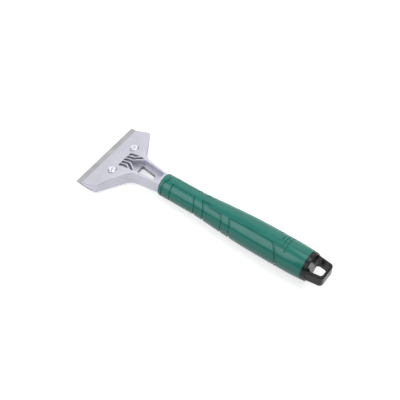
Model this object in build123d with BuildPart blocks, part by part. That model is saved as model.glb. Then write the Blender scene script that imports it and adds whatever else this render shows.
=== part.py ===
from build123d import *
import math
import os

os.makedirs("parts", exist_ok=True)

# A long-handled scraper with a replaceable 100 mm blade, laid along X with the blade at the low end.
# Every station below is a distance from the cutting edge along the handle's axis.
# Every height below is measured from that axis, upwards.
# The origin is under the middle of the tool, level with the lowest point of the grip.

# Overall
overall_length = 285.0
belly_radius = 17.4
overrun = 1.0
running_clearance = 0.05
seat_clearance = 0.02
loose_clearance = 0.3

# Blade
blade_length = 100.0
blade_depth = 20.0
blade_thickness = 0.6
blade_seat_height = -5.9
bevel_depth = 1.5
bevel_edge_thickness = 0.12

# Head casting, outside
lip_station = 6.3
lip_height = -5.2
lip_corner_radius = 0.8
shoulder_station = 25.3
shoulder_radius = 3.0
waist_station = 47.0
waist_half_width = 13.4
waist_radius = 15.0
neck_station = 77.0
neck_half_width = 8.8
neck_half_height = 7.8
neck_end_station = 84.0
ramp_angle = 23.8
ramp_blend_radius = 42.0
head_edge_radius = 0.8
neck_end_radius = 1.2

# Head casting, pocket with its ribs
pocket_station = 27.0
pocket_half_width = 11.2
pocket_straight_end = 43.5
pocket_waist_station = 50.5
pocket_waist_half_width = 9.5
pocket_rear_station = 76.2
pocket_rear_half_width = 6.7
pocket_floor_height = 1.4
pocket_corner_radius = 1.8
pocket_bend_radius = 18.0
rib_width = 1.3
rib_angle = 37.0
inner_rib_offset = 2.4
inner_rib_bend_station = 37.2
outer_rib_offset = 6.8
outer_rib_bend_station = 35.6

# Head casting, window through the web and channel under the neck
web_bottom_height = -3.8
window_station = 47.6
window_half_width = 6.5
window_rear_station = 67.4
window_rear_half_width = 3.6
window_corner_radius = 0.8
window_rear_radius = 3.0
channel_station = 42.0
channel_half_width = 9.6
channel_corner_radius = 2.0

# Clamp plate and its two screws
plate_thickness = 1.3
plate_front_station = 7.2
plate_end_station = 21.4
plate_rear_station = 32.0
plate_rear_half_length = 33.0
plate_corner_radius = 1.0
blade_stop_gap = 0.2
relief_length = 6.0
relief_rise = 1.5
relief_station = 21.0
screw_station = 26.0
screw_spacing = 40.0
screw_radius = 2.0
screw_hole_radius = 2.25
screw_head_radius = 4.0
screw_head_height = 3.1
screw_head_rim = 1.2
screw_head_seat = 1.9
screw_tip_gap = 0.1
counterbore_radius = 4.8
nut_radius = 3.3
nut_shank_radius = 2.8
nut_height = 2.0

# Tang and its cross pin
tang_length = 68.0
tang_half_width = 6.0
tang_half_height = 5.0
tang_edge_radius = 1.5
tang_tip_chamfer = 1.2
pin_distance = 20.0
pin_radius = 2.0
pin_length = 18.0
pin_bore_radius = 1.1
pin_slit = 0.8

# Grip sleeve
neck_entry = 4.2
grip_front_radius = 12.9
grip_nose_radius = 2.4
straight_length = 43.9
swell_length = 70.7
grip_taper_length = 16.0
grip_taper_depth = 0.8
neck_opening_clearance = 0.15
groove_depth = 0.7
long_groove_width = 1.1
cross_groove_width = 2.0
ring_groove_distance = 4.8

# Grooves in the upper near quarter of the grip, which outline its three side panels.
# Each point is a share of the grip's length and an angle up from the grip's side, in degrees.
cross_groove_shares = (
    ((0.081, 70), (0.081, 0)),
    ((0.227, 70), (0.256, 38), (0.26, 0)),
    ((0.285, 75), (0.311, 49), (0.327, 0)),
    ((0.427, 58), (0.454, 0)),
    ((0.488, 57), (0.515, 0)),
    ((0.772, 67), (0.814, 45), (0.837, 0)),
)
long_groove_shares = (
    ((0.081, 70), (0.227, 70)),
    ((0.285, 75), (0.324, 75), (0.348, 65), (0.427, 58)),
    ((0.488, 57), (0.618, 67), (0.772, 67)),
)
groove_cut_angle = 35.0
groove_overlap_angle = 2.0

# Handle core
core_nose_gap = 0.1
core_web = 15.0
core_shoulder = 4.0
core_front_radius = 10.0
core_rear_radius = 13.5
core_bore_radius = 10.5
socket_clearance = 0.12

# End cap with its hanging loop
cap_ring_length = 5.5
cap_ring_edge_radius = 0.9
cap_ring_taper_depth = 0.4
cap_root_depth = 1.0
loop_length = 18.5
loop_half_height = 6.6
loop_root_half_width = 14.2
loop_tip_half_width = 11.8
loop_corner_radius = 4.5
loop_edge_radius = 1.6
loop_rim_radius = 0.5
loop_hole_half_width = 11.0
loop_hole_tip_half_width = 8.6
loop_bar = 2.9
loop_hole_front_radius = 5.0
loop_hole_rear_radius = 3.0
plug_clearance = 0.12
plug_length = 24.0
plug_wall = 2.4
snap_slot_length = 15.0
snap_slot_width = 2.0
bead_distance = 7.0
bead_width = 2.0
bead_height = 0.5

# Places worked out from the sizes above
edge_x = -overall_length / 2
plan = Plane(origin=(edge_x, 0, belly_radius))
side = Plane(origin=(edge_x, 0, belly_radius), x_dir=(1, 0, 0), z_dir=(0, -1, 0))
grip_axis = Axis((edge_x, 0, belly_radius), (1, 0, 0))
head_half_length = blade_length / 2
blade_rear_station = blade_depth
plate_top_height = blade_seat_height - blade_thickness - 2 * seat_clearance
plate_bottom_height = plate_top_height - plate_thickness
blade_bottom_height = blade_seat_height - blade_thickness - seat_clearance
screw_places = [(screw_station, screw_spacing / 2), (screw_station, -screw_spacing / 2)]
tang_end_station = neck_end_station + tang_length
pin_station = neck_end_station + pin_distance
grip_station = neck_end_station - neck_entry
cap_ring_end = overall_length - loop_length
grip_end_station = cap_ring_end - cap_ring_length
grip_length = grip_end_station - grip_station
swell_station = grip_station + straight_length
belly_station = swell_station + swell_length
grip_taper_station = grip_end_station - grip_taper_length
grip_end_radius = belly_radius - grip_taper_depth
ring_groove_station = grip_station + ring_groove_distance
core_station = neck_end_station + core_nose_gap
core_bore_station = tang_end_station + core_web
core_step_station = core_bore_station - core_shoulder
cap_ring_end_radius = grip_end_radius - cap_ring_taper_depth
plug_station = grip_end_station - plug_length
bead_station = plug_station + bead_distance


def station_plane(station):
    """The plane across the handle's axis at a station, with its normal towards the tail."""
    return Plane(origin=(edge_x + station, 0, belly_radius), x_dir=(0, 1, 0), z_dir=(1, 0, 0))


def mirrored_outline(points, radii):
    """A closed outline symmetric about the handle's axis, from one half's points and corner radii."""
    half = FilletPolyline(*points, radius=radii)
    mirror(half, about=Plane.XZ)
    return half


# Everything above the head's ramp and its top: what the casting's upper face is cut with
ramp_rise = math.tan(math.radians(ramp_angle))
crest_station = lip_station + (neck_half_height - lip_height) / ramp_rise
with BuildPart() as above_ramp:
    with BuildSketch(side):
        with BuildLine():
            FilletPolyline(
                (lip_station - overrun, lip_height - overrun * ramp_rise),
                (crest_station, neck_half_height),
                (neck_end_station + overrun, neck_half_height),
                radius=ramp_blend_radius,
            )
            Polyline(
                (neck_end_station + overrun, neck_half_height),
                (neck_end_station + overrun, neck_half_height + overrun),
                (lip_station - overrun, neck_half_height + overrun),
                (lip_station - overrun, lip_height - overrun * ramp_rise),
            )
        make_face()
    extrude(amount=head_half_length + overrun, both=True)

# The four ribs that stand in the pocket and turn out to its side walls
rib_reach = pocket_half_width + rib_width
with BuildPart() as pocket_ribs:
    with BuildSketch(plan.offset(pocket_floor_height - overrun)):
        for offset, bend_station in (
            (inner_rib_offset, inner_rib_bend_station),
            (outer_rib_offset, outer_rib_bend_station),
        ):
            rib_run = (rib_reach - offset) / math.tan(math.radians(rib_angle))
            with BuildLine():
                Polyline(
                    (pocket_station - rib_width, offset),
                    (bend_station, offset),
                    (bend_station + rib_run, rib_reach),
                )
            trace(line_width=rib_width)
        mirror(about=Plane.XZ)
    extrude(amount=neck_half_height - pocket_floor_height + overrun)
    add(above_ramp.part, mode=Mode.SUBTRACT)

# Clamp plate: a flat steel plate with a hole for each clinch nut
with BuildPart() as clamp_plate:
    with BuildSketch(plan.offset(plate_bottom_height)):
        with BuildLine():
            mirrored_outline(
                [
                    (plate_front_station, 0),
                    (plate_front_station, head_half_length - running_clearance),
                    (plate_end_station, head_half_length - running_clearance),
                    (plate_rear_station, plate_rear_half_length),
                    (plate_rear_station, 0),
                ],
                plate_corner_radius,
            )
        make_face()
        with Locations(*screw_places):
            Circle(nut_shank_radius + seat_clearance, mode=Mode.SUBTRACT)
    extrude(amount=plate_thickness)
clamp_plate.part.label = "clamp_plate"
export_step(clamp_plate.part, "parts/clamp_plate.step")

# Clinch nuts: a collar on top of the plate, pressed through it and flush with its underside
with BuildPart() as clamp_nuts:
    with BuildSketch(plan.offset(plate_bottom_height)):
        with Locations(*screw_places):
            Circle(nut_shank_radius)
    extrude(amount=plate_thickness + nut_height)
    with BuildSketch(plan.offset(plate_top_height)):
        with Locations(*screw_places):
            Circle(nut_radius)
    extrude(amount=nut_height)
    with BuildSketch(plan.offset(plate_bottom_height)):
        with Locations(*screw_places):
            Circle(screw_radius + running_clearance)
    extrude(amount=plate_thickness + nut_height, mode=Mode.SUBTRACT)
clamp_nuts.part.label = "clamp_nuts"
export_step(clamp_nuts.part, "parts/clamp_nuts.step")

# Head casting
with BuildPart() as head_casting:
    # Wings, waist and neck as one block, ramped on top
    with BuildSketch(plan.offset(-neck_half_height)):
        with BuildLine():
            mirrored_outline(
                [
                    (lip_station, 0),
                    (lip_station, head_half_length),
                    (shoulder_station, head_half_length),
                    (waist_station, waist_half_width),
                    (neck_station, neck_half_width),
                    (neck_end_station, neck_half_width),
                    (neck_end_station, 0),
                ],
                [lip_corner_radius, shoulder_radius, waist_radius, waist_radius, neck_end_radius],
            )
        make_face()
    extrude(amount=2 * neck_half_height)
    add(above_ramp.part, mode=Mode.SUBTRACT)
    rounded = head_casting.edges().filter_by(
        lambda e: not e.tangent_at(0.5).Z > 0.99
        and not abs(e.tangent_at(0.5).Y) > 0.999
        and (e.center().Z > belly_radius + lip_height or e.center().X > edge_x + shoulder_station)
    )
    fillet(rounded, head_edge_radius)

    # Pocket in the top, with its ribs
    with BuildSketch(plan.offset(pocket_floor_height)):
        with BuildLine():
            mirrored_outline(
                [
                    (pocket_station, 0),
                    (pocket_station, pocket_half_width),
                    (pocket_straight_end, pocket_half_width),
                    (pocket_waist_station, pocket_waist_half_width),
                    (pocket_rear_station, pocket_rear_half_width),
                    (pocket_rear_station, 0),
                ],
                [pocket_corner_radius, pocket_bend_radius, pocket_bend_radius, pocket_corner_radius],
            )
        make_face()
    extrude(amount=neck_half_height - pocket_floor_height + overrun, mode=Mode.SUBTRACT)
    add(pocket_ribs.part)

    # Channel under the neck and the window through the web
    with BuildSketch(plan.offset(web_bottom_height)):
        with BuildLine():
            mirrored_outline(
                [
                    (channel_station, 0),
                    (channel_station, channel_half_width),
                    (pocket_waist_station, pocket_waist_half_width),
                    (pocket_rear_station, pocket_rear_half_width),
                    (pocket_rear_station, 0),
                ],
                channel_corner_radius,
            )
        make_face()
    extrude(amount=-(neck_half_height + web_bottom_height + overrun), mode=Mode.SUBTRACT)
    with BuildSketch(plan.offset(web_bottom_height - overrun)):
        with BuildLine():
            mirrored_outline(
                [
                    (window_station, 0),
                    (window_station, window_half_width),
                    (window_rear_station, window_rear_half_width),
                    (window_rear_station, 0),
                ],
                [window_corner_radius, window_rear_radius],
            )
        make_face()
    extrude(amount=pocket_floor_height - web_bottom_height + 2 * overrun, mode=Mode.SUBTRACT)

    # Seat for the clamp plate and the blade, open at the front and at both ends
    with BuildSketch(plan.offset(plate_top_height)):
        with BuildLine():
            mirrored_outline(
                [
                    (lip_station - overrun, 0),
                    (lip_station - overrun, head_half_length + overrun),
                    (plate_end_station + loose_clearance, head_half_length + overrun),
                    (plate_end_station + loose_clearance, head_half_length - running_clearance),
                    (plate_rear_station + loose_clearance, plate_rear_half_length + loose_clearance),
                    (plate_rear_station + loose_clearance, 0),
                ],
                [seat_clearance, seat_clearance, seat_clearance, plate_corner_radius],
            )
        make_face()
    extrude(amount=-(neck_half_height + plate_top_height + overrun), mode=Mode.SUBTRACT)
    with BuildSketch(plan.offset(plate_top_height)):
        with Locations((lip_station - overrun, 0)):
            Rectangle(
                blade_rear_station + blade_stop_gap + overrun - lip_station,
                blade_length + 2 * overrun,
                align=(Align.MIN, Align.CENTER),
            )
    extrude(amount=blade_seat_height - plate_top_height, mode=Mode.SUBTRACT)

    # Open hollow behind the blade at each end
    with BuildSketch(plan.offset(plate_top_height)):
        for direction in (1, -1):
            with Locations((relief_station, direction * (head_half_length + overrun))):
                Rectangle(
                    2 * (plate_end_station - relief_station),
                    2 * (relief_length + overrun),
                )
    extrude(amount=relief_rise, mode=Mode.SUBTRACT)

    # Screw holes, their counterbores and the pockets that take the clinch nuts
    with BuildSketch(plan.offset(plate_top_height - overrun)):
        with Locations(*screw_places):
            Circle(screw_hole_radius)
    extrude(amount=screw_head_seat - plate_top_height + 2 * overrun, mode=Mode.SUBTRACT)
    with BuildSketch(plan.offset(screw_head_seat)):
        with Locations(*screw_places):
            Circle(counterbore_radius)
    extrude(amount=neck_half_height - screw_head_seat, mode=Mode.SUBTRACT)
    with BuildSketch(plan.offset(plate_top_height - overrun)):
        with Locations(*screw_places):
            Circle(nut_radius + loose_clearance)
    extrude(amount=nut_height + loose_clearance + overrun, mode=Mode.SUBTRACT)

    # Tang that runs into the handle, with the hole for its cross pin
    with BuildSketch(station_plane(neck_end_station)):
        RectangleRounded(2 * tang_half_width, 2 * tang_half_height, tang_edge_radius)
    extrude(amount=tang_end_station - neck_end_station)
    tang_tip = head_casting.faces().sort_by(Axis.X)[-1]
    chamfer(tang_tip.edges(), tang_tip_chamfer)
    with BuildSketch(side):
        with Locations((pin_station, 0)):
            Circle(pin_radius + running_clearance)
    extrude(amount=tang_half_width + overrun, both=True, mode=Mode.SUBTRACT)
head_casting.part.label = "head_casting"
export_step(head_casting.part, "parts/head_casting.step")

# Blade: a flat steel strip ground from both faces to the cutting edge
with BuildPart() as blade:
    blade_middle = blade_bottom_height + blade_thickness / 2
    with BuildSketch(side):
        with BuildLine():
            Polyline(
                (0, blade_middle - bevel_edge_thickness / 2),
                (bevel_depth, blade_middle - blade_thickness / 2),
                (blade_rear_station, blade_middle - blade_thickness / 2),
                (blade_rear_station, blade_middle + blade_thickness / 2),
                (bevel_depth, blade_middle + blade_thickness / 2),
                (0, blade_middle + bevel_edge_thickness / 2),
                close=True,
            )
        make_face()
    extrude(amount=blade_length / 2, both=True)
blade.part.label = "blade"
export_step(blade.part, "parts/blade.step")

# Clamp screws: a domed head on the counterbore's floor and a shank through to the plate
shank_end = plate_bottom_height + screw_tip_gap
for name, place in zip(("clamp_screw_far", "clamp_screw_near"), screw_places):
    screw_x, screw_y = edge_x + place[0], place[1]
    screw_plane = Plane(origin=(screw_x, screw_y, belly_radius), x_dir=(1, 0, 0), z_dir=(0, -1, 0))
    with BuildPart() as clamp_screw:
        with BuildSketch(screw_plane):
            with BuildLine():
                Polyline(
                    (0, screw_head_seat + screw_head_height),
                    (0, shank_end),
                    (screw_radius, shank_end),
                    (screw_radius, screw_head_seat),
                    (screw_head_radius, screw_head_seat),
                    (screw_head_radius, screw_head_seat + screw_head_rim),
                )
                TangentArc(
                    (0, screw_head_seat + screw_head_height),
                    (screw_head_radius, screw_head_seat + screw_head_rim),
                    tangent=(1, 0),
                )
            make_face()
        revolve(axis=Axis((screw_x, screw_y, 0), (0, 0, 1)))
    clamp_screw.part.label = name
    export_step(clamp_screw.part, f"parts/{name}.step")

# Cross pin: a rolled spring pin with a slit along it
with BuildPart() as tang_pin:
    with BuildSketch(side):
        with Locations((pin_station, 0)):
            Circle(pin_radius)
            Circle(pin_bore_radius, mode=Mode.SUBTRACT)
            Rectangle(pin_radius + overrun, pin_slit, align=(Align.MIN, Align.CENTER), mode=Mode.SUBTRACT)
    extrude(amount=pin_length / 2, both=True)
tang_pin.part.label = "tang_pin"
export_step(tang_pin.part, "parts/tang_pin.step")


def grip_corners(inset):
    """Corners of the grip's profile from front to end, this far inside its surface."""
    return [
        (grip_station, grip_front_radius - inset),
        (swell_station, grip_front_radius - inset),
        (belly_station, belly_radius - inset),
        (grip_taper_station, belly_radius - inset),
        (grip_end_station, grip_end_radius - inset),
    ]


def sleeve_room(front_station, inset):
    """Half outline of the stepped room inside the sleeve from a station on, drawn this far inside it."""
    Polyline(
        (front_station, 0),
        (front_station, core_front_radius - inset),
        (core_step_station + inset, core_front_radius - inset),
        (core_step_station + inset, core_rear_radius - inset),
        (grip_end_station, core_rear_radius - inset),
        (grip_end_station, 0),
        close=True,
    )


# Handle core: a stiff moulded tube that holds the tang in front and the end cap behind
with BuildPart() as handle_core:
    with BuildSketch(side):
        with BuildLine():
            sleeve_room(core_station, running_clearance)
        make_face()
    revolve(axis=grip_axis)
    with BuildSketch(station_plane(core_station)):
        RectangleRounded(
            2 * (tang_half_width + socket_clearance),
            2 * (tang_half_height + socket_clearance),
            tang_edge_radius,
        )
    extrude(amount=tang_end_station + loose_clearance - core_station, mode=Mode.SUBTRACT)
    with BuildSketch(station_plane(core_bore_station)):
        Circle(core_bore_radius)
    extrude(amount=grip_end_station - core_bore_station, mode=Mode.SUBTRACT)
    with BuildSketch(station_plane(bead_station)):
        Circle(core_bore_radius + bead_height)
    extrude(amount=bead_width, mode=Mode.SUBTRACT)
    with BuildSketch(side):
        with Locations((pin_station, 0)):
            Circle(pin_radius + running_clearance)
    extrude(amount=belly_radius, both=True, mode=Mode.SUBTRACT)
handle_core.part.label = "handle_core"
export_step(handle_core.part, "parts/handle_core.step")

# The skin of the grip, as thick as its grooves are deep: what the groove bands are cut out of
with BuildPart() as groove_skin:
    with BuildSketch(side):
        with BuildLine():
            Polyline(
                *grip_corners(groove_depth),
                (grip_end_station, belly_radius + overrun),
                (grip_station, belly_radius + overrun),
                close=True,
            )
        make_face()
    revolve(axis=grip_axis)


def grip_radius(station):
    """Radius of the grip's surface at a station, along the straight runs between its corners."""
    corners = grip_corners(0)
    for (run_start, start_radius), (run_end, end_radius) in zip(corners, corners[1:]):
        if station <= run_end:
            break
    share = (station - run_start) / (run_end - run_start)
    return start_radius + share * (end_radius - start_radius)


# The side plane turned up to face the middle of the grip's upper near quarter
cut_tilt = math.radians(groove_cut_angle)
quarter = Plane(
    origin=(edge_x, 0, belly_radius),
    x_dir=(1, 0, 0),
    z_dir=(0, -math.cos(cut_tilt), math.sin(cut_tilt)),
)


def quarter_line(points):
    """A line drawn on the quarter's plane through points of the grip's surface."""
    placed = []
    for share, angle in points:
        station = grip_station + share * grip_length
        placed.append((station, grip_radius(station) * math.sin(math.radians(angle) - cut_tilt)))
    return Polyline(*placed)


# Groove bands: cut in one quarter and mirrored to the other three; those across the grip overlap there
with BuildPart() as groove_bands:
    with BuildSketch(quarter):
        for points in cross_groove_shares:
            with BuildLine():
                quarter_line([*points, (points[-1][0], -groove_overlap_angle)])
            trace(line_width=cross_groove_width)
        for points in long_groove_shares:
            with BuildLine():
                quarter_line(points)
            trace(line_width=long_groove_width)
    extrude(amount=belly_radius + overrun)
    add(groove_skin.part, mode=Mode.INTERSECT)
    mirror(about=plan)
    mirror(about=Plane.XZ)

# Grip sleeve: the soft green cover of the handle
with BuildPart() as grip_sleeve:
    with BuildSketch(side):
        with BuildLine():
            FilletPolyline(
                (grip_station, 0),
                (grip_station, grip_front_radius),
                (swell_station, grip_front_radius),
                radius=grip_nose_radius,
            )
            Polyline(*grip_corners(0)[1:], (grip_end_station, 0), (grip_station, 0))
        make_face()
    revolve(axis=grip_axis)
    with BuildSketch(side):
        with BuildLine():
            sleeve_room(neck_end_station, 0)
        make_face()
    revolve(axis=grip_axis, mode=Mode.SUBTRACT)
    with BuildSketch(station_plane(grip_station)):
        RectangleRounded(
            2 * (neck_half_width + neck_opening_clearance),
            2 * (neck_half_height + neck_opening_clearance),
            head_edge_radius,
        )
    extrude(amount=neck_end_station - grip_station, mode=Mode.SUBTRACT)
    with BuildSketch(side):
        with Locations((ring_groove_station, grip_front_radius)):
            Rectangle(cross_groove_width, 2 * groove_depth)
    revolve(axis=grip_axis, mode=Mode.SUBTRACT)
    add(groove_bands.part, mode=Mode.SUBTRACT)
grip_sleeve.part.label = "grip_sleeve"
export_step(grip_sleeve.part, "parts/grip_sleeve.step")

# The hanging loop: a thick flat bar round an open hole, with its edges rounded
with BuildPart() as hanging_loop:
    with BuildSketch(plan.offset(-loop_half_height)):
        with BuildLine():
            mirrored_outline(
                [
                    (grip_end_station + cap_root_depth, 0),
                    (grip_end_station + cap_root_depth, loop_root_half_width),
                    (cap_ring_end, loop_root_half_width),
                    (overall_length, loop_tip_half_width),
                    (overall_length, 0),
                ],
                [loop_edge_radius, loop_corner_radius, loop_corner_radius],
            )
        make_face()
        with BuildLine():
            mirrored_outline(
                [
                    (cap_ring_end, 0),
                    (cap_ring_end, loop_hole_half_width),
                    (overall_length - loop_bar, loop_hole_tip_half_width),
                    (overall_length - loop_bar, 0),
                ],
                [loop_hole_front_radius, loop_hole_rear_radius],
            )
        make_face(mode=Mode.SUBTRACT)
    extrude(amount=2 * loop_half_height)
    flat_faces = hanging_loop.faces().filter_by(Axis.Z)
    fillet([e for face in flat_faces for rim in face.inner_wires() for e in rim.edges()], loop_rim_radius)
    flat_faces = hanging_loop.faces().filter_by(Axis.Z)
    fillet([e for face in flat_faces for e in face.outer_wire().edges()], loop_edge_radius)

# End cap: a ring that closes the handle, a slotted plug with a snap bead, and the hanging loop
plug_radius = core_bore_radius - plug_clearance
with BuildPart() as end_cap:
    with BuildSketch(side):
        with BuildLine():
            FilletPolyline(
                (grip_end_station, grip_end_radius),
                (cap_ring_end, cap_ring_end_radius),
                (cap_ring_end, 0),
                radius=cap_ring_edge_radius,
            )
            Polyline((cap_ring_end, 0), (grip_end_station, 0), (grip_end_station, grip_end_radius))
        make_face()
    revolve(axis=grip_axis)
    add(hanging_loop.part)
    with BuildSketch(station_plane(plug_station)):
        Circle(plug_radius)
        Circle(plug_radius - plug_wall, mode=Mode.SUBTRACT)
    extrude(amount=plug_length)
    bead_end_station = bead_station + bead_width - plug_clearance
    with BuildSketch(side):
        with BuildLine():
            Polyline(
                (bead_station + plug_clearance, plug_radius - bead_height),
                (bead_station + plug_clearance, plug_radius),
                (bead_end_station - bead_height, plug_radius + bead_height),
                (bead_end_station, plug_radius + bead_height),
                (bead_end_station, plug_radius - bead_height),
                close=True,
            )
        make_face()
    revolve(axis=grip_axis)
    with BuildSketch(station_plane(plug_station)):
        Rectangle(2 * (core_bore_radius + bead_height), snap_slot_width)
        Rectangle(snap_slot_width, 2 * (core_bore_radius + bead_height))
    extrude(amount=snap_slot_length, mode=Mode.SUBTRACT)
end_cap.part.label = "end_cap"
export_step(end_cap.part, "parts/end_cap.step")
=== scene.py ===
import math

import bpy
import numpy as np
from mathutils import Matrix, Vector


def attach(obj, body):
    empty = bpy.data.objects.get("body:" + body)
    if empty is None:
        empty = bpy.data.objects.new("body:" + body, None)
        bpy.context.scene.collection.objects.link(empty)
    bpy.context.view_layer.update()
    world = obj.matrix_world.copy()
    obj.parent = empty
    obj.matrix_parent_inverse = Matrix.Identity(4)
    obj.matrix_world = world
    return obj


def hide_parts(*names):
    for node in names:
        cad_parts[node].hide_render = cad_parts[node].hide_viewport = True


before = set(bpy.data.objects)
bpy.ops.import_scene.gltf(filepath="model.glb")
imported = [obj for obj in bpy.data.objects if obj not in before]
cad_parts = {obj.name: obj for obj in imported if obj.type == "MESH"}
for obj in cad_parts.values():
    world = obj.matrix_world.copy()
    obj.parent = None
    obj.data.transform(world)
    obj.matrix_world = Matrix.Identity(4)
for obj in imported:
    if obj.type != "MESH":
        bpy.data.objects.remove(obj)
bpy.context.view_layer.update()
scene = bpy.context.scene

# Stations run along the handle from the cutting edge and heights from the handle's axis, in millimetres.
EDGE_X = -142.5
AXIS_Z = 17.4
MILLIMETRES = 1000.0

# Head casting: the station of its front lip and the height of its pocket's floor
LIP_STATION = 6.3
POCKET_FLOOR = 1.4


def place(points):
    """Points in stations and heights, in millimetres, as points of the scene in metres."""
    points = np.asarray(points, float)
    return (points + (EDGE_X, 0.0, AXIS_Z)) / MILLIMETRES


# Mesh helpers
def mesh_object(name, vertices, faces, sharp_angle=35.0):
    """A smooth-shaded object whose edges stay sharp above an angle."""
    mesh = bpy.data.meshes.new(name)
    mesh.from_pydata([tuple(v) for v in vertices], [], [tuple(f) for f in faces])
    mesh.update()
    mesh.validate()
    mesh.polygons.foreach_set("use_smooth", [True] * len(mesh.polygons))
    mesh.set_sharp_from_angle(angle=math.radians(sharp_angle))
    obj = bpy.data.objects.new(name, mesh)
    scene.collection.objects.link(obj)
    return obj


def ring_faces(rows, columns, closed_rows):
    """Faces of a grid that is closed round its columns, and round its rows too where that is asked for."""
    i = np.arange(rows if closed_rows else rows - 1)[:, None]
    j = np.arange(columns)[None, :]
    a = i * columns + j
    b = i * columns + (j + 1) % columns
    c = ((i + 1) % rows) * columns + (j + 1) % columns
    d = ((i + 1) % rows) * columns + j
    return np.stack([a, b, c, d], axis=-1).reshape(-1, 4)


# Grip
NECK_END = 84.0
GRIP_START = 79.8
GRIP_END = 261.0
NOSE_RADIUS = 2.4
STEP = 163.0
ROOM_FRONT_RADIUS = 10.0
ROOM_REAR_RADIUS = 13.5
NECK_HALF_WIDTH = 8.95
NECK_HALF_HEIGHT = 7.95
NECK_CORNER_REACH = 11.7
WIDEST_RADIUS = 17.4

# Outline of the grip: stations and radii
GRIP_OUTLINE = (
    (79.8, 12.9), (112.0, 12.9), (122.0, 12.95), (130.0, 13.25), (140.0, 13.85),
    (150.0, 14.65), (160.0, 15.4), (170.0, 15.95), (185.0, 16.75), (200.0, 17.2),
    (215.0, 17.38), (230.0, 17.4), (245.0, 17.38), (254.0, 17.05), (261.0, 16.6),
)

# Widths and depths of the grooves across the grip, along it and on its top
CROSS_WIDTH = 1.9
LONG_WIDTH = 1.0
TOP_WIDTH = 1.1
CROSS_DEPTH = 0.95
LONG_DEPTH = 0.65
TOP_DEPTH = 0.55
GROOVE_EDGE = 0.2

# Groove lines of the near upper quarter: stations and angles up from the side, in degrees
CROSS_GROOVES = (
    ((85.4, -2), (84.8, 38), (85.2, 62), (87.6, 76), (87.9, 97)),
    ((94.6, 72), (95.6, 35), (96.2, -2)),
    ((122.0, 72), (124.7, 52), (127.0, 28), (127.7, -2)),
    ((132.8, 74), (136.5, 50), (138.2, 35), (139.8, -2)),
    ((157.8, 59), (160.2, 46), (162.1, 30), (163.4, -2)),
    ((169.0, 60), (172.1, 38), (174.2, -2)),
    ((221.6, 63), (225.6, 50), (228.2, 38), (230.4, 22), (231.4, -2)),
)
LONG_GROOVES = (
    ((94.6, 72), (122.0, 72)),
    ((132.8, 74), (141.4, 74), (144.3, 60), (157.8, 59)),
    ((169.0, 60), (174.5, 62), (186.0, 64), (221.6, 63)),
)

# Short lines on the top, near the rear: stations and angles up from the near side, in degrees
TOP_GROOVES = (
    ((229.3, 112), (228.8, 85)),
    ((234.2, 126), (232.9, 104), (232.9, 66)),
    ((237.8, 124), (237.2, 104), (237.4, 52)),
)

# The pattern of one side meets that of the other side at this angle, a little past the top
PATTERN_TOP = 95

# Angles where the grip's mesh is fine enough for the long grooves, in each half turn
FINE_ANGLES = ((48, 80), (100, 132))
NOSE_ROWS = 14


def grip_radius(stations):
    """Radius of the grip at its stations, along a smooth curve through the measured ones."""
    known, radii = np.array(GRIP_OUTLINE).T
    slopes = np.gradient(radii, known)
    index = np.clip(np.searchsorted(known, stations, side="right") - 1, 0, len(known) - 2)
    run = known[index + 1] - known[index]
    t = (stations - known[index]) / run
    curve = (
        (1 + 2 * t) * (1 - t) ** 2 * radii[index]
        + t * (1 - t) ** 2 * run * slopes[index]
        + t**2 * (3 - 2 * t) * radii[index + 1]
        + t**2 * (t - 1) * run * slopes[index + 1]
    )
    return np.minimum(curve, WIDEST_RADIUS)


def groove_profile(distance, width, depth):
    """Depth of a flat-bottomed groove with soft edges, at a distance from its middle line."""
    t = np.clip((width / 2 + GROOVE_EDGE - distance) / (2 * GROOVE_EDGE), 0, 1)
    return depth * t * t * (3 - 2 * t)


def line_distance(stations, angles, radii, line):
    """Distance over the grip's surface from points to a line given in stations and angles."""
    best = np.full(stations.shape, 1e9)
    for (s0, a0), (s1, a1) in zip(line, line[1:]):
        px = stations - s0
        py = (angles - math.radians(a0)) * radii
        dx = s1 - s0
        dy = math.radians(a1 - a0) * radii
        t = np.clip((px * dx + py * dy) / (dx * dx + dy * dy), 0, 1)
        best = np.minimum(best, np.hypot(px - t * dx, py - t * dy))
    return best


def grip_depth(stations, angles, radii):
    """Depth of the grooves: one quarter's lines repeat in all four quarters and the short ones twice."""
    top = math.radians(PATTERN_TOP)
    turned = (angles - top + math.pi) % (2 * math.pi) + top - math.pi
    upright = np.abs(np.where(turned > top, 2 * top - turned, turned))
    half_turn = angles % math.pi
    depth = np.zeros(stations.shape)
    for lines, turn, width, deep in (
        (CROSS_GROOVES, upright, CROSS_WIDTH, CROSS_DEPTH),
        (LONG_GROOVES, upright, LONG_WIDTH, LONG_DEPTH),
        (TOP_GROOVES, half_turn, TOP_WIDTH, TOP_DEPTH),
    ):
        for line in lines:
            distance = line_distance(stations, turn, radii, line)
            depth = np.maximum(depth, groove_profile(distance, width, deep))
    return depth


def graded(start, stop, spans, fine, coarse):
    """Values from start to stop, close together inside the spans and wider apart outside them."""
    values = [start]
    while values[-1] < stop:
        inside = any(low <= values[-1] <= high for low, high in spans)
        values.append(values[-1] + (fine if inside else coarse))
    values[-1] = stop
    return np.array(values)


def neck_opening(angles):
    """Distance from the axis to the rounded rectangular opening that the neck passes through."""
    across = NECK_HALF_WIDTH / np.maximum(np.abs(np.cos(angles)), 1e-6)
    upwards = NECK_HALF_HEIGHT / np.maximum(np.abs(np.sin(angles)), 1e-6)
    return np.minimum(np.minimum(across, upwards), NECK_CORNER_REACH)


def groove_spans():
    """Stretches of the grip, as pairs of stations, that grooves across it take up."""
    for line in CROSS_GROOVES + TOP_GROOVES:
        stations = [station for station, _ in line]
        yield min(stations) - CROSS_WIDTH, max(stations) + CROSS_WIDTH


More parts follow.
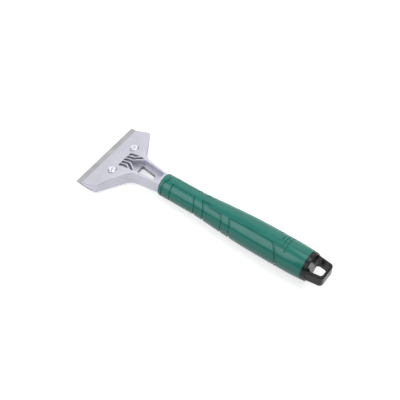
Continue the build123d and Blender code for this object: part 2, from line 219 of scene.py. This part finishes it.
def nose_rows(opening):
    """Stations and radii of the rounded nose, from the grip's outside in to the neck's opening."""
    centre = float(grip_radius(np.array([GRIP_START]))[0]) - NOSE_RADIUS
    for share in np.linspace(0, 1, NOSE_ROWS)[1:]:
        radii = np.maximum(centre + NOSE_RADIUS * math.cos(share * math.pi / 2), opening)
        reach = np.clip(radii - centre, 0, NOSE_RADIUS)
        yield GRIP_START + NOSE_RADIUS - np.sqrt(NOSE_RADIUS**2 - reach**2), radii


def build_grip():
    """The green cover: a swelling round grip with grooves, a rounded nose and a stepped room inside."""
    outside = graded(GRIP_START + NOSE_RADIUS, GRIP_END, list(groove_spans()), 0.25, 1.0)[::-1]
    fine_angles = [(half + low, half + high) for half in (0, 180) for low, high in FINE_ANGLES]
    angles = np.radians(graded(0.0, 360.0, fine_angles, 0.7, 1.6)[:-1])
    stations, turns = np.meshgrid(outside, angles, indexing="ij")
    radii = grip_radius(stations)
    all_stations = [stations]
    all_radii = [radii - grip_depth(stations, turns, radii)]
    opening = neck_opening(angles)
    nose = list(nose_rows(opening))
    room = (
        (nose[-1][0], opening),
        (NECK_END, opening),
        (NECK_END, ROOM_FRONT_RADIUS),
        (STEP, ROOM_FRONT_RADIUS),
        (STEP, ROOM_REAR_RADIUS),
        (GRIP_END, ROOM_REAR_RADIUS),
    )
    for row_stations, row_radii in (*nose, *room):
        all_stations.append(np.broadcast_to(row_stations, (1, len(angles))))
        all_radii.append(np.broadcast_to(row_radii, (1, len(angles))))
    stations = np.concatenate(all_stations)
    radii = np.concatenate(all_radii)
    points = np.stack([stations, -radii * np.cos(angles), radii * np.sin(angles)], axis=-1)
    faces = ring_faces(len(stations), len(angles), True)
    return mesh_object("grip_cover", place(points.reshape(-1, 3)), faces, 50)


# Screws
SCREW_STATION = 26.0
SCREW_SPREAD = 20.0
SCREW_RADIUS = 2.0
HEAD_RADIUS = 4.6
HEAD_SEAT = 1.9
HEAD_RIM = 2.2
HEAD_HEIGHT = 3.6
DOME_POWER = 3.2
DOME_ROWS = 44
SHANK_END = -7.74
THREAD_PITCH = 0.7
THREAD_DEPTH = 0.25
THREAD_ROWS = 7
RECESS_DEPTH = 0.5
RECESS_REACH = 1.6
RECESS_HALF_WIDTH = 0.4
RECESS_CORE = 0.7
SCREW_COLUMNS = 96


def recess_depth(x, y, turn):
    """Depth of the cross recess in a screw's head."""
    u = x * math.cos(turn) + y * math.sin(turn)
    v = -x * math.sin(turn) + y * math.cos(turn)
    share = np.clip((RECESS_CORE - np.hypot(x, y)) / 0.3, 0, 1)
    for along, across in ((u, v), (v, u)):
        length = np.clip((RECESS_REACH - np.abs(along)) / 0.6, 0, 1)
        width = np.clip((RECESS_HALF_WIDTH - 0.08 * np.abs(along) - np.abs(across)) / 0.14, 0, 1)
        share = np.maximum(share, length * width)
    return RECESS_DEPTH * share


def head_rows():
    """Radii and heights of a screw's head, from its top out to its rim and in to the shank."""
    rim = HEAD_SEAT + HEAD_RIM
    dome = HEAD_HEIGHT - HEAD_RIM
    for radius in np.linspace(0.02, 1, DOME_ROWS) * (HEAD_RADIUS - 0.15):
        yield radius, rim + dome * math.sqrt(1 - (radius / HEAD_RADIUS) ** DOME_POWER)
    yield HEAD_RADIUS - 0.05, rim + 0.25
    yield HEAD_RADIUS, rim
    yield HEAD_RADIUS, HEAD_SEAT + 0.25
    yield HEAD_RADIUS - 0.2, HEAD_SEAT
    yield SCREW_RADIUS + 0.05, HEAD_SEAT


def shank_rows(angles):
    """Radii and heights of a screw's threaded shank, down to its flat end."""
    for height in np.arange(HEAD_SEAT - 0.3, SHANK_END + 0.3, -THREAD_PITCH / THREAD_ROWS):
        phase = (height / THREAD_PITCH - angles / (2 * math.pi)) % 1
        yield SCREW_RADIUS - 0.02 - THREAD_DEPTH * np.abs(2 * phase - 1), height
    yield SCREW_RADIUS - 0.3, SHANK_END
    yield 0.05, SHANK_END


def build_screw(name, side, turn):
    """A pan-head screw with a cross recess and a threaded shank."""
    angles = np.arange(SCREW_COLUMNS) * 2 * math.pi / SCREW_COLUMNS
    rows = []
    for radius, height in (*head_rows(), *shank_rows(angles)):
        x, y = radius * np.cos(angles), radius * np.sin(angles)
        sunk = recess_depth(x, y, turn) if len(rows) < DOME_ROWS else np.zeros(SCREW_COLUMNS)
        rows.append(np.stack([x, y, height - sunk], axis=-1))
    grid = np.array(rows) + (SCREW_STATION, side * SCREW_SPREAD, 0)
    faces = [tuple(face) for face in ring_faces(len(rows), SCREW_COLUMNS, False)]
    faces.append(tuple(reversed(range(SCREW_COLUMNS))))
    last = (len(rows) - 1) * SCREW_COLUMNS
    faces.append(tuple(range(last, last + SCREW_COLUMNS)))
    faces = [tuple(reversed(face)) for face in faces]
    return mesh_object(name, place(grid.reshape(-1, 3)), faces, 40)


# Materials
class Nodes:
    """A small writer for a material's nodes."""

    def __init__(self, name):
        self.material = bpy.data.materials.new(name)
        self.material.use_nodes = True
        self.tree = self.material.node_tree
        self.shader = self.tree.nodes["Principled BSDF"]
        self.coordinates = self.add("ShaderNodeTexCoord")

    def add(self, kind, **settings):
        node = self.tree.nodes.new(kind)
        for key, value in settings.items():
            setattr(node, key, value)
        return node

    def link(self, source, target):
        self.tree.links.new(source, target)

    def scaled(self, scale):
        """Object coordinates, stretched."""
        mapping = self.add("ShaderNodeMapping")
        mapping.inputs["Scale"].default_value = scale
        self.link(self.coordinates.outputs["Object"], mapping.inputs["Vector"])
        return mapping.outputs["Vector"]

    def noise(self, scale, detail=3.0, roughness=0.5, stretch=(1, 1, 1)):
        node = self.add("ShaderNodeTexNoise")
        node.inputs["Scale"].default_value = scale
        node.inputs["Detail"].default_value = detail
        node.inputs["Roughness"].default_value = roughness
        self.link(self.scaled(stretch), node.inputs["Vector"])
        return node.outputs["Fac"]

    def ramp(self, value, stops):
        node = self.add("ShaderNodeValToRGB")
        elements = node.color_ramp.elements
        while len(elements) < len(stops):
            elements.new(0.5)
        for element, (position, colour) in zip(elements, stops):
            element.position = position
            element.color = (*colour, 1.0) if len(colour) == 3 else colour
        self.link(value, node.inputs["Fac"])
        return node.outputs["Color"]

    def spread(self, value, low, high, bottom=0.3, top=0.7):
        node = self.add("ShaderNodeMapRange")
        for key, number in (("From Min", bottom), ("From Max", top), ("To Min", low), ("To Max", high)):
            node.inputs[key].default_value = number
        self.link(value, node.inputs["Value"])
        return node.outputs["Result"]

    def bump(self, value, strength, distance, normal=None):
        node = self.add("ShaderNodeBump")
        node.inputs["Strength"].default_value = strength
        node.inputs["Distance"].default_value = distance
        self.link(value, node.inputs["Height"])
        if normal is not None:
            self.link(normal, node.inputs["Normal"])
        return node.outputs["Normal"]

    def rounded_edges(self, radius):
        node = self.add("ShaderNodeBevel")
        node.samples = 6
        node.inputs["Radius"].default_value = radius
        return node.outputs["Normal"]

    def edge_wear_and_highlight(self, radius, low, high):
        """1 near convex edges and 0 elsewhere, from how far the rounded normal leaves the flat one; it
        lightens edges, partly as wear and partly as painted highlight.
        """
        rounded = self.rounded_edges(radius)
        geometry = self.add("ShaderNodeNewGeometry")
        dot = self.add("ShaderNodeVectorMath", operation="DOT_PRODUCT")
        self.link(rounded, dot.inputs[0])
        self.link(geometry.outputs["Normal"], dot.inputs[1])
        return self.spread(dot.outputs["Value"], 1.0, 0.0, low, high)

    def openness(self, distance, low=0.3, high=0.9, only_local=True):
        """0 deep in grooves, pockets and corners and 1 on open surfaces."""
        node = self.add("ShaderNodeAmbientOcclusion", only_local=only_local, samples=8)
        node.inputs["Distance"].default_value = distance
        return self.spread(node.outputs["AO"], 0.0, 1.0, low, high)

    def along(self, output, axis):
        """X, Y or Z of the object's own coordinates, or of its own normal."""
        node = self.add("ShaderNodeSeparateXYZ")
        self.link(self.coordinates.outputs[output], node.inputs["Vector"])
        return node.outputs[axis]

    def product(self, first, second):
        node = self.add("ShaderNodeMath", operation="MULTIPLY")
        self.link(first, node.inputs[0])
        self.link(second, node.inputs[1])
        return node.outputs["Value"]

    def mix(self, factor, first, second):
        node = self.add("ShaderNodeMix", data_type="RGBA")
        self.link(factor, node.inputs["Factor"])
        for value, key in ((first, "A"), (second, "B")):
            socket = [s for s in node.inputs if s.name == key and s.type == "RGBA"][0]
            if isinstance(value, tuple):
                socket.default_value = (*value, 1.0)
            else:
                self.link(value, socket)
        return [s for s in node.outputs if s.type == "RGBA"][0]

    def finish(self, **constants):
        for key, value in constants.items():
            self.shader.inputs[key.replace("_", " ")].default_value = value
        return self.material


def srgb(*values):
    """A colour written in the eight-bit values of a screen, as linear light."""
    shares = [value / 255 for value in values]
    return tuple(s / 12.92 if s <= 0.04045 else ((s + 0.055) / 1.055) ** 2.4 for s in shares)


def cast_aluminium():
    """Shot-blasted cast aluminium: pale, matt and pitted, with edges lighter as wear and painted highlight,
    painted shade in its hollows, and dark painted shade below its pocket's floor where the casting covers
    itself.
    """
    n = Nodes("cast_aluminium")
    cloud = n.noise(60.0, 4.0, 0.55)
    grain = n.noise(1500.0, 2.0, 0.6)
    pits = n.noise(3800.0, 2.0, 0.7)
    base = n.ramp(cloud, [(0.3, srgb(190, 190, 200)), (0.7, srgb(198, 198, 209))])
    # Convex edges lighter: partly wear, partly painted highlight.
    worn_and_highlit = n.mix(n.edge_wear_and_highlight(0.0004, 0.9, 1.0), base, srgb(222, 222, 230))
    # Painted shade: darker where the surface is hemmed in, in pockets, rib gaps and corners.
    painted_occlusion_shade = n.mix(n.openness(0.004, 0.1, 0.6), srgb(138, 138, 145), worn_and_highlit)
    floor = (AXIS_Z + POCKET_FLOOR) / MILLIMETRES
    # Painted shade: dark below the pocket's floor where the casting covers itself, in the window's walls and
    # under the pocket.
    low = n.spread(n.along("Object", "Z"), 1.0, 0.0, floor - 0.0011, floor - 0.0002)
    covered = n.spread(n.openness(0.012, 0.5, 0.95), 1.0, 0.0, 0.0, 1.0)
    painted_shade_below_pocket = n.product(low, covered)
    n.link(n.mix(painted_shade_below_pocket, painted_occlusion_shade, srgb(80, 79, 82)), n.shader.inputs["Base Color"])
    n.link(n.spread(grain, 0.38, 0.52), n.shader.inputs["Roughness"])
    normal = n.bump(pits, 0.3, 0.00005, n.rounded_edges(0.0002))
    normal = n.bump(grain, 0.2, 0.0001, normal)
    n.link(normal, n.shader.inputs["Normal"])
    return n.finish(Metallic=0.85)


def green_cover():
    """Glossy moulded green plastic with a faint orange-peel skin, edges lighter as wear and painted
    highlight, and painted shade in its grooves.
    """
    n = Nodes("green_cover")
    cloud = n.noise(45.0, 3.0, 0.5)
    peel = n.noise(420.0, 2.0, 0.5)
    grain = n.noise(2600.0, 2.0, 0.6)
    base = n.ramp(cloud, [(0.3, srgb(26, 111, 99)), (0.7, srgb(32, 118, 106))])
    # Convex edges and groove rims lighter: partly wear, partly painted highlight.
    worn_and_highlit = n.mix(n.edge_wear_and_highlight(0.0003, 0.9, 1.0), base, srgb(52, 138, 124))
    # Painted shade: darker deep in the grooves, by occlusion.
    painted_groove_shade = n.mix(n.openness(0.0017), srgb(6, 60, 51), worn_and_highlit)
    n.link(painted_groove_shade, n.shader.inputs["Base Color"])
    n.link(n.spread(peel, 0.15, 0.22), n.shader.inputs["Roughness"])
    normal = n.bump(peel, 0.03, 0.0002)
    normal = n.bump(grain, 0.05, 0.00003, normal)
    n.link(normal, n.shader.inputs["Normal"])
    return n.finish(Metallic=0.0, Specular_IOR_Level=0.35)


def black_plastic():
    """Glossy black moulded plastic with faint flow marks, and edges lighter as wear and painted highlight.
    """
    n = Nodes("black_plastic")
    cloud = n.noise(70.0, 3.0, 0.5)
    grain = n.noise(2100.0, 3.0, 0.6)
    base = n.ramp(cloud, [(0.3, srgb(15, 15, 17)), (0.7, srgb(20, 20, 22))])
    # Convex edges lighter: partly wear, partly painted highlight.
    worn_and_highlit = n.mix(n.edge_wear_and_highlight(0.0003, 0.88, 1.0), base, srgb(34, 34, 37))
    n.link(worn_and_highlit, n.shader.inputs["Base Color"])
    n.link(n.spread(cloud, 0.2, 0.28), n.shader.inputs["Roughness"])
    normal = n.bump(grain, 0.08, 0.00004, n.rounded_edges(0.0003))
    n.link(normal, n.shader.inputs["Normal"])
    return n.finish(Metallic=0.0, Specular_IOR_Level=0.35)


def blade_steel():
    """Hardened steel with a thin film of oil: ground faces, and painted shade of the head's slot on its ends
    from the casting's lip back.
    """
    n = Nodes("blade_steel")
    cloud = n.noise(80.0, 3.0, 0.5)
    scratches = n.noise(260.0, 3.0, 0.7, stretch=(1, 14, 1))
    base = n.ramp(cloud, [(0.3, srgb(150, 149, 152)), (0.7, srgb(168, 167, 170))])
    # Painted shade: the blade's end faces are dark from the casting's lip back, where they sit in the slot.
    end = n.add("ShaderNodeMath", operation="ABSOLUTE")
    n.link(n.along("Normal", "Y"), end.inputs[0])
    lip = (EDGE_X + LIP_STATION) / MILLIMETRES
    clamped = n.spread(n.along("Object", "X"), 0.0, 1.0, lip, lip + 0.0005)
    painted_slot_shade = n.product(end.outputs["Value"], clamped)
    n.link(n.mix(painted_slot_shade, base, srgb(38, 36, 36)), n.shader.inputs["Base Color"])
    n.link(n.spread(scratches, 0.24, 0.42), n.shader.inputs["Roughness"])
    n.link(n.bump(scratches, 0.15, 0.00004), n.shader.inputs["Normal"])
    return n.finish(Metallic=1.0)


def zinc_steel(name, light, dark, rough_low, rough_high):
    """Zinc-plated steel with faint spangle, fine rolling lines, and painted shade where other parts come
    close.
    """
    n = Nodes(name)
    spangle = n.noise(240.0, 2.0, 0.5)
    lines = n.noise(500.0, 3.0, 0.6, stretch=(1, 10, 10))
    base = n.ramp(spangle, [(0.3, dark), (0.7, light)])
    # Painted shade: darker where other parts come close, by occlusion across objects.
    painted_occlusion_shade = n.mix(n.openness(0.0012, only_local=False), srgb(112, 112, 118), base)
    n.link(painted_occlusion_shade, n.shader.inputs["Base Color"])
    n.link(n.spread(lines, rough_low, rough_high), n.shader.inputs["Roughness"])
    n.link(n.bump(lines, 0.1, 0.00003, n.rounded_edges(0.0002)), n.shader.inputs["Normal"])
    return n.finish(Metallic=1.0)


def core_plastic():
    """Dark grey moulded plastic of the handle's hidden core."""
    n = Nodes("core_plastic")
    cloud = n.noise(70.0, 3.0, 0.5)
    base = n.ramp(cloud, [(0.3, srgb(34, 36, 38)), (0.7, srgb(44, 46, 48))])
    n.link(base, n.shader.inputs["Base Color"])
    n.link(n.spread(n.noise(900.0), 0.4, 0.55), n.shader.inputs["Roughness"])
    return n.finish(Metallic=0.0)


def dress(obj, material):
    """Puts one material on every face of an object."""
    obj.data.materials.clear()
    obj.data.materials.append(material)


# Dressed CAD nodes
plate_steel = zinc_steel("plate_steel", srgb(196, 197, 202), srgb(176, 177, 183), 0.28, 0.42)
screw_steel = zinc_steel("screw_steel", srgb(216, 216, 223), srgb(202, 202, 209), 0.2, 0.3)
pin_steel = zinc_steel("pin_steel", srgb(150, 150, 154), srgb(120, 120, 125), 0.3, 0.45)
for node, material in (
    ("head_casting", cast_aluminium()),
    ("end_cap", black_plastic()),
    ("blade", blade_steel()),
    ("clamp_plate", plate_steel),
    ("clamp_nuts", screw_steel),
    ("tang_pin", pin_steel),
    ("handle_core", core_plastic()),
):
    dress(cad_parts[node], material)

# Finer grip and screws in place of the CAD's plain ones
grip = build_grip()
dress(grip, green_cover())
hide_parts("grip_sleeve")
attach(grip, "handle")

for name, node, body, side, degrees in (
    ("near_screw_cross", "clamp_screw_near", "near_screw", -1, 20),
    ("far_screw_cross", "clamp_screw_far", "far_screw", 1, 62),
):
    screw = build_screw(name, side, math.radians(degrees))
    dress(screw, screw_steel)
    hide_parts(node)
    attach(screw, body)


# Floor: the stations where the grip rests on it, its size, and the greys of its paper
FRONT_REST = 82.2
BELLY_REST = 186.0
FLOOR_REACH = 1.6
FLOOR_CORNERS = 96
LIT_GREY = 0.4
SEEN_GREY = 0.55
SEEN_GLOW = 0.63

# Light of the world by height: white below the horizon, a dim room above it
SKY = ((0.02, 1.0), (0.05, 0.1), (0.3, 0.14), (0.7, 0.5), (1.0, 0.6))

# Camera: lens, place and axes
LENS = 107.992
CAMERA_PLACE = (0.40420821, -0.71514384, 0.98167925)
CAMERA_RIGHT = (0.82216757, 0.56585415, 0.06204484)
CAMERA_UP = (-0.4627876, 0.60096087, 0.65166991)
CAMERA_BACK = (0.3314636, -0.56449545, 0.75596082)


def looked_at(tree):
    """1 for rays that look at a surface, straight, in a reflection or through glass, and 0 for its light."""
    path = tree.nodes.new("ShaderNodeLightPath")
    total = path.outputs["Is Camera Ray"]
    for name in ("Is Glossy Ray", "Is Transmission Ray"):
        larger = tree.nodes.new("ShaderNodeMath")
        larger.operation = "MAXIMUM"
        tree.links.new(total, larger.inputs[0])
        tree.links.new(path.outputs[name], larger.inputs[1])
        total = larger.outputs["Value"]
    return total


def floor_paper():
    """Pale paper that looks white and gives back little light."""
    material = bpy.data.materials.new("floor_paper")
    material.use_nodes = True
    tree = material.node_tree
    tree.nodes.clear()
    out = tree.nodes.new("ShaderNodeOutputMaterial")
    add = tree.nodes.new("ShaderNodeAddShader")
    diffuse = tree.nodes.new("ShaderNodeBsdfDiffuse")
    glow = tree.nodes.new("ShaderNodeEmission")
    seen = looked_at(tree)
    tone = tree.nodes.new("ShaderNodeMix")
    tone.data_type = "RGBA"
    colours = [s for s in tone.inputs if s.type == "RGBA"]
    colours[0].default_value = (LIT_GREY, LIT_GREY, LIT_GREY, 1)
    colours[1].default_value = (SEEN_GREY, SEEN_GREY, SEEN_GREY, 1)
    strength = tree.nodes.new("ShaderNodeMath")
    strength.operation = "MULTIPLY"
    strength.inputs[1].default_value = SEEN_GLOW
    tree.links.new(seen, tone.inputs["Factor"])
    tree.links.new([s for s in tone.outputs if s.type == "RGBA"][0], diffuse.inputs["Color"])
    tree.links.new(seen, strength.inputs[0])
    tree.links.new(strength.outputs["Value"], glow.inputs["Strength"])
    tree.links.new(diffuse.outputs["BSDF"], add.inputs[0])
    tree.links.new(glow.outputs["Emission"], add.inputs[1])
    tree.links.new(add.outputs["Shader"], out.inputs["Surface"])
    return material


def build_floor():
    """The pale table that the tool lies on: it touches the grip behind its rounded nose and at its belly."""
    front_radius, belly_radius = grip_radius(np.array([FRONT_REST, BELLY_REST]))
    centre = Vector(place([(BELLY_REST, 0.0, -belly_radius)])[0])
    along = Vector((BELLY_REST - FRONT_REST, 0, front_radius - belly_radius)).normalized()
    points = [tuple(centre)]
    for corner in range(FLOOR_CORNERS):
        turn = 2 * math.pi * corner / FLOOR_CORNERS
        spoke = along * math.cos(turn) + Vector((0, 1, 0)) * math.sin(turn)
        points.append(tuple(centre + spoke * FLOOR_REACH))
    faces = [(0, 1 + corner, 1 + (corner + 1) % FLOOR_CORNERS) for corner in range(FLOOR_CORNERS)]
    mesh = bpy.data.meshes.new("floor")
    mesh.from_pydata(points, [], faces)
    floor = bpy.data.objects.new("floor", mesh)
    scene.collection.objects.link(floor)
    mesh.materials.append(floor_paper())


def build_world():
    """A dim room over a white ground that goes on past the table to the horizon."""
    world = bpy.data.worlds.new("studio")
    scene.world = world
    world.use_nodes = True
    tree = world.node_tree
    tree.nodes.clear()
    out = tree.nodes.new("ShaderNodeOutputWorld")
    room = tree.nodes.new("ShaderNodeBackground")
    where = tree.nodes.new("ShaderNodeTexCoord")
    split = tree.nodes.new("ShaderNodeSeparateXYZ")
    shade = tree.nodes.new("ShaderNodeValToRGB")
    elements = shade.color_ramp.elements
    while len(elements) < len(SKY):
        elements.new(0.5)
    for element, (height, value) in zip(elements, SKY):
        element.position = height
        element.color = (value, value, value, 1)
    tree.links.new(where.outputs["Generated"], split.inputs["Vector"])
    tree.links.new(split.outputs["Z"], shade.inputs["Fac"])
    tree.links.new(shade.outputs["Color"], room.inputs["Color"])
    tree.links.new(room.outputs["Background"], out.inputs["Surface"])


def softbox(name, centre, width, height, radiance):
    """A rectangular softbox that faces the middle of the tool."""
    lamp = bpy.data.lights.new(name, "AREA")
    lamp.shape = "RECTANGLE"
    lamp.size = width
    lamp.size_y = height
    lamp.energy = radiance * math.pi * width * height
    obj = bpy.data.objects.new(name, lamp)
    scene.collection.objects.link(obj)
    obj.location = centre
    obj.rotation_mode = "QUATERNION"
    obj.rotation_quaternion = (-Vector(centre)).to_track_quat("-Z", "Y")


def build_camera():
    """The camera fitted to the photograph."""
    data = bpy.data.cameras.new("camera")
    data.sensor_fit = "HORIZONTAL"
    data.sensor_width = 36.0
    data.lens = LENS
    data.clip_start = 0.05
    data.clip_end = 20.0
    camera = bpy.data.objects.new("camera", data)
    scene.collection.objects.link(camera)
    turned = Matrix((CAMERA_RIGHT, CAMERA_UP, CAMERA_BACK)).transposed().to_4x4()
    camera.matrix_world = Matrix.Translation(CAMERA_PLACE) @ turned
    scene.camera = camera


build_floor()
build_world()
softbox("key", centre=(-0.432, -0.812, 0.771), width=0.84, height=0.92, radiance=2.8)
softbox("panel", centre=(-0.85, 0.95, 0.75), width=2.2, height=1.6, radiance=1.0)
softbox("top", centre=(0.25, 0.2, 1.45), width=0.9, height=0.9, radiance=2.7)
build_camera()
scene.view_settings.view_transform = "Standard"
